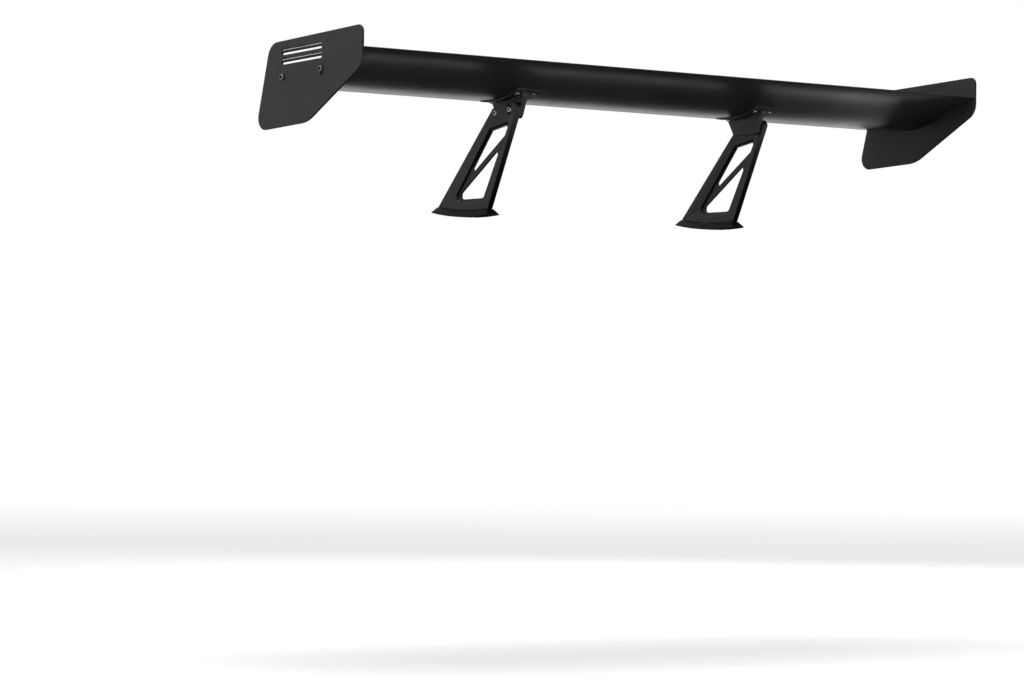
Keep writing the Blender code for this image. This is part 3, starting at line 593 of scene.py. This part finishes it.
def screw_profile(head, shank, top, end):
    """Profile points of a screw with its seat at 0, from the middle of its end to the rim of its top."""
    tip = end + THREAD_PITCH
    profile = [(0.0, end), (shank - SHANK_POINT, end), (shank, tip)]
    profile += reversed(thread(shank, -PLAIN_SHANK, tip + THREAD_PITCH / 2))
    profile += [(shank, -NECK), (shank, 0.0), (head - HEAD_CHAMFER, 0.0), (head, HEAD_CHAMFER)]
    crown = top * CROWN
    for turn in (math.radians(angle) for angle in CROWN_TURNS):
        profile.append((head - crown * (1 - math.cos(turn)), top - crown * (1 - math.sin(turn))))
    return [*profile, (head * RIM, top)]


def hexagon(shape, apothem, height):
    """Adds points along a hexagon round Z, as many as a screw has sides."""
    sector = math.pi / 3
    points = []
    for turn in (2 * math.pi * k / SCREW_SIDES for k in range(SCREW_SIDES)):
        radius = apothem / math.cos((turn + sector / 2) % sector - sector / 2)
        points.append(shape.verts.new((radius * math.cos(turn), radius * math.sin(turn), height)))
    return points


def sink_socket(shape, rim, head, top):
    """Fills the rim of a screw's top with a flat ring round a hexagon socket, whose inside takes the second
    material, painted shade.
    """
    apothem, floor = head * SOCKET_SIZE, top * SOCKET_FLOOR
    loops = [hexagon(shape, apothem * size, top - depth) for size, depth in SOCKET_CHAMFER]
    loops.append(hexagon(shape, apothem * SOCKET_TAPER, floor))
    loops.append(circle(shape, 0, floor - DRILL_POINT, SCREW_SIDES))
    join_rings(shape, rim, loops[0])
    # the socket's chamfer, sides and floor take the second material, painted shade
    for first, second in zip(loops, loops[1:]):
        join_rings(shape, first, second, index=1)


def measure_screw(node):
    """A CAD screw's axis and the middle of its seat, the radii of its head and shank, and how far its
    top and its end are from the seat."""
    points = [vert.co.copy() for vert in nodes[node].data.vertices]
    axis, base = axis_of(np.array(points)), Vector(np.array(points).mean(axis=0))
    arms = [point - base for point in points]
    along = [arm.dot(axis) for arm in arms]
    reach = [(arm - axis * height).length for arm, height in zip(arms, along)]
    if along[reach.index(max(reach))] < (max(along) + min(along)) / 2:
        axis, along = -axis, [-height for height in along]
    top, end = max(along), min(along)
    last = [point for point, height in zip(points, along) if height < end + ON_PLANE]
    middle = sum(last, Vector()) / len(last)
    radii = [(point - middle).cross(axis).length for point in points]
    head = max(radii)
    shank = max(radius for radius, height in zip(radii, along) if height < end + SHANK_END)
    seat = min(height for radius, height in zip(radii, along) if radius > ON_RIM * head)
    place = middle + axis * (seat - (middle - base).dot(axis))
    return axis, place, head, shank, top - seat, end - seat


def make_screw(node, name):
    """A socket screw in the place and size of its CAD node: domed head, hexagon socket and thread."""
    axis, place, head, shank, top, end = measure_screw(node)
    shape = bmesh.new()
    rings = revolve(shape, screw_profile(head, shank, top, end), SCREW_SIDES)
    sink_socket(shape, rings[-1], head, top)
    stand_on(shape, axis, place)
    piece = add_piece(name, shape, node, crease=32.0)
    # the socket's inside takes painted shade
    piece.data.materials.append(socket)


def make_ring(node, name):
    """A washer, bush or insert in the place and size of its CAD node."""
    low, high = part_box(node)
    sizes, middle = high - low, (low + high) / 2
    mismatch = [abs(sizes[(k + 1) % 3] - sizes[(k + 2) % 3]) for k in range(3)]
    lane = mismatch.index(min(mismatch))
    axis = Vector([1.0 if k == lane else 0.0 for k in range(3)])
    radii = [(vert.co - middle).cross(axis).length for vert in nodes[node].data.vertices]
    outer, inner, half = max(radii), min(radii), sizes[lane] / 2
    profile = [
        (inner, RING_CHAMFER - half), (inner + RING_CHAMFER, -half),
        (outer - RING_CHAMFER, -half), (outer, RING_CHAMFER - half),
    ]
    profile += [(radius, -height) for radius, height in reversed(profile)]
    shape = bmesh.new()
    revolve(shape, profile, RING_SIDES, close=True)
    stand_on(shape, axis, middle)
    add_piece(name, shape, node, crease=30.0)


def make_pieces():
    make_skin("upper_skin", "wing_upper_surface")
    make_skin("lower_skin", "wing_lower_surface")
    for side in SIDES:
        for node, (name, width) in PLATES.items():
            cut_plate(f"{node}_{side}", f"{name}_{side}", width)
        bare_the_lips(bpy.data.objects[f"endplate_panel_{side}"], f"endplate_{side}")
        for node, (name, width) in BLOCKS.items():
            machined(f"{node}_{side}", f"{name}_{side}", width)
    for node in sorted(nodes):
        if "screw" in node or "bolt" in node:
            make_screw(node, f"{node}_turned")
        elif "washer" in node or "bush" in node or "insert" in node:
            make_ring(node, f"{node}_turned")


def paint_kept_nodes():
    """The CAD nodes that stay as they are take their slot's material."""
    for node, obj in nodes.items():
        obj.data.materials.clear()
        obj.data.materials.append(materials[slot_of[node]])


# Camera, floor and light -----------------------------------------------------------------------


def aim_camera():
    ahead = Vector((
        math.sin(CAMERA_YAW) * math.cos(CAMERA_PITCH),
        math.cos(CAMERA_YAW) * math.cos(CAMERA_PITCH),
        math.sin(CAMERA_PITCH),
    ))
    level = Vector((math.cos(CAMERA_YAW), -math.sin(CAMERA_YAW), 0.0))
    above = level.cross(ahead)
    right = level * math.cos(CAMERA_ROLL) + above * math.sin(CAMERA_ROLL)
    up = above * math.cos(CAMERA_ROLL) - level * math.sin(CAMERA_ROLL)
    data = bpy.data.cameras.new("camera")
    data.sensor_width = SENSOR_MM
    data.lens = LENS_MM
    data.clip_end = 500.0
    camera = bpy.data.objects.new("camera", data)
    turn = Matrix((right, up, -ahead)).transposed().to_4x4()
    camera.matrix_world = Matrix.Translation(CAMERA_AT) @ turn
    bpy.context.scene.collection.objects.link(camera)
    bpy.context.scene.camera = camera


def add_floor():
    """A pale disc that brightens into the white background away from the object."""
    shape = bmesh.new()
    bmesh.ops.create_circle(shape, cap_ends=True, segments=96, radius=FLOOR_RADIUS)
    mesh = bpy.data.meshes.new("floor")
    shape.to_mesh(mesh)
    shape.free()
    tree = Tree("pale floor")
    colour = tree.mixed(tree.noise(0.8, 5.0), (0.86, 0.86, 0.865), (0.89, 0.89, 0.895))
    sheen = tree.ranged(tree.noise(6.0), 0.3, 0.7, 0.62, 0.70)
    mesh.materials.append(tree.shade(colour, sheen, tree.bump(tree.noise(300.0), 0.0002, 0.2), specular=0.2))
    length = tree.nodes.new("ShaderNodeVectorMath")
    length.operation = "LENGTH"
    tree.links.new(tree.place, length.inputs[0])
    glow = tree.nodes.new("ShaderNodeEmission")
    mixer = tree.nodes.new("ShaderNodeMixShader")
    tree.links.new(tree.ranged(length.outputs["Value"], *FLOOR_FADE, smooth=True), mixer.inputs["Fac"])
    tree.links.new(tree.shader.outputs["BSDF"], mixer.inputs[1])
    tree.links.new(glow.outputs["Emission"], mixer.inputs[2])
    tree.links.new(mixer.outputs["Shader"], tree.nodes["Material Output"].inputs["Surface"])
    floor = bpy.data.objects.new("floor", mesh)
    floor.location.z = GROUND
    bpy.context.scene.collection.objects.link(floor)


def add_flag():
    """A dark card below and ahead of the wing, out of the picture, where a car's boot lid and rear
    window would keep the floor's light off its underside."""
    shape = bmesh.new()
    bmesh.ops.create_grid(shape, x_segments=8, y_segments=8, size=1.0)
    for vert in shape.verts:
        along, ahead = (vert.co.x + 1.0) / 2, (vert.co.y + 1.0) / 2
        right = FLAG_RIGHT + FLAG_SPLAY * (1.0 - ahead)
        vert.co.x = FLAG_LEFT + along * (right - FLAG_LEFT)
        vert.co.y = FLAG_REAR + ahead * (FLAG_FRONT - FLAG_REAR)
        vert.co.z = cad_box[0].z - FLAG_DROP
    mesh = bpy.data.meshes.new("flag")
    shape.to_mesh(mesh)
    shape.free()
    tree = Tree("black flag")
    colour = tree.mixed(tree.noise(4.0), (0.022, 0.021, 0.021), (0.030, 0.028, 0.028))
    sheen = tree.ranged(tree.noise(30.0), 0.3, 0.7, 0.80, 0.90)
    mesh.materials.append(tree.shade(colour, sheen, tree.bump(tree.noise(400.0), 0.0002, 0.2), specular=0.2))
    flag = bpy.data.objects.new("flag", mesh)
    flag.visible_camera = False
    flag.visible_shadow = False
    bpy.context.scene.collection.objects.link(flag)


def add_softbox(name, location, width, height, power):
    """A rectangular soft light that faces the middle of the wing."""
    data = bpy.data.lights.new(name, "AREA")
    data.shape = "RECTANGLE"
    data.size, data.size_y = width, height
    data.energy = power
    light = bpy.data.objects.new(name, data)
    light.location = location
    aim = (cad_box[0] + cad_box[1]) / 2 - Vector(location)
    light.rotation_mode = "QUATERNION"
    light.rotation_quaternion = aim.to_track_quat("-Z", "Y")
    bpy.context.scene.collection.objects.link(light)


def light_the_studio():
    """A white surround that is dimmer towards the horizon as a light, with three softboxes."""
    world = bpy.data.worlds.new("studio")
    world.use_nodes = True
    shades, links = world.node_tree.nodes, world.node_tree.links
    surround = shades["Background"]
    place = shades.new("ShaderNodeTexCoord").outputs["Generated"]
    height = shades.new("ShaderNodeSeparateXYZ")
    links.new(place, height.inputs["Vector"])
    ramp = shades.new("ShaderNodeMapRange")
    ramp.inputs["To Min"].default_value, ramp.inputs["To Max"].default_value = SURROUND
    links.new(height.outputs["Z"], ramp.inputs["Value"])
    links.new(ramp.outputs["Result"], surround.inputs["Strength"])
    surround.inputs["Color"].default_value = (1.0, 1.0, 1.0, 1.0)
    backdrop = shades.new("ShaderNodeBackground")
    backdrop.inputs["Color"].default_value = (1.0, 1.0, 1.0, 1.0)
    seen = shades.new("ShaderNodeLightPath").outputs["Is Camera Ray"]
    mixer = shades.new("ShaderNodeMixShader")
    links.new(seen, mixer.inputs["Fac"])
    links.new(surround.outputs["Background"], mixer.inputs[1])
    links.new(backdrop.outputs["Background"], mixer.inputs[2])
    links.new(mixer.outputs["Shader"], shades["World Output"].inputs["Surface"])
    bpy.context.scene.world = world
    for box in SOFTBOXES:
        add_softbox(*box)
    bpy.context.scene.view_settings.view_transform = "Standard"


aim_camera()
paint_kept_nodes()
make_pieces()
add_floor()
add_flag()
light_the_studio()

bpy.context.view_layer.update()
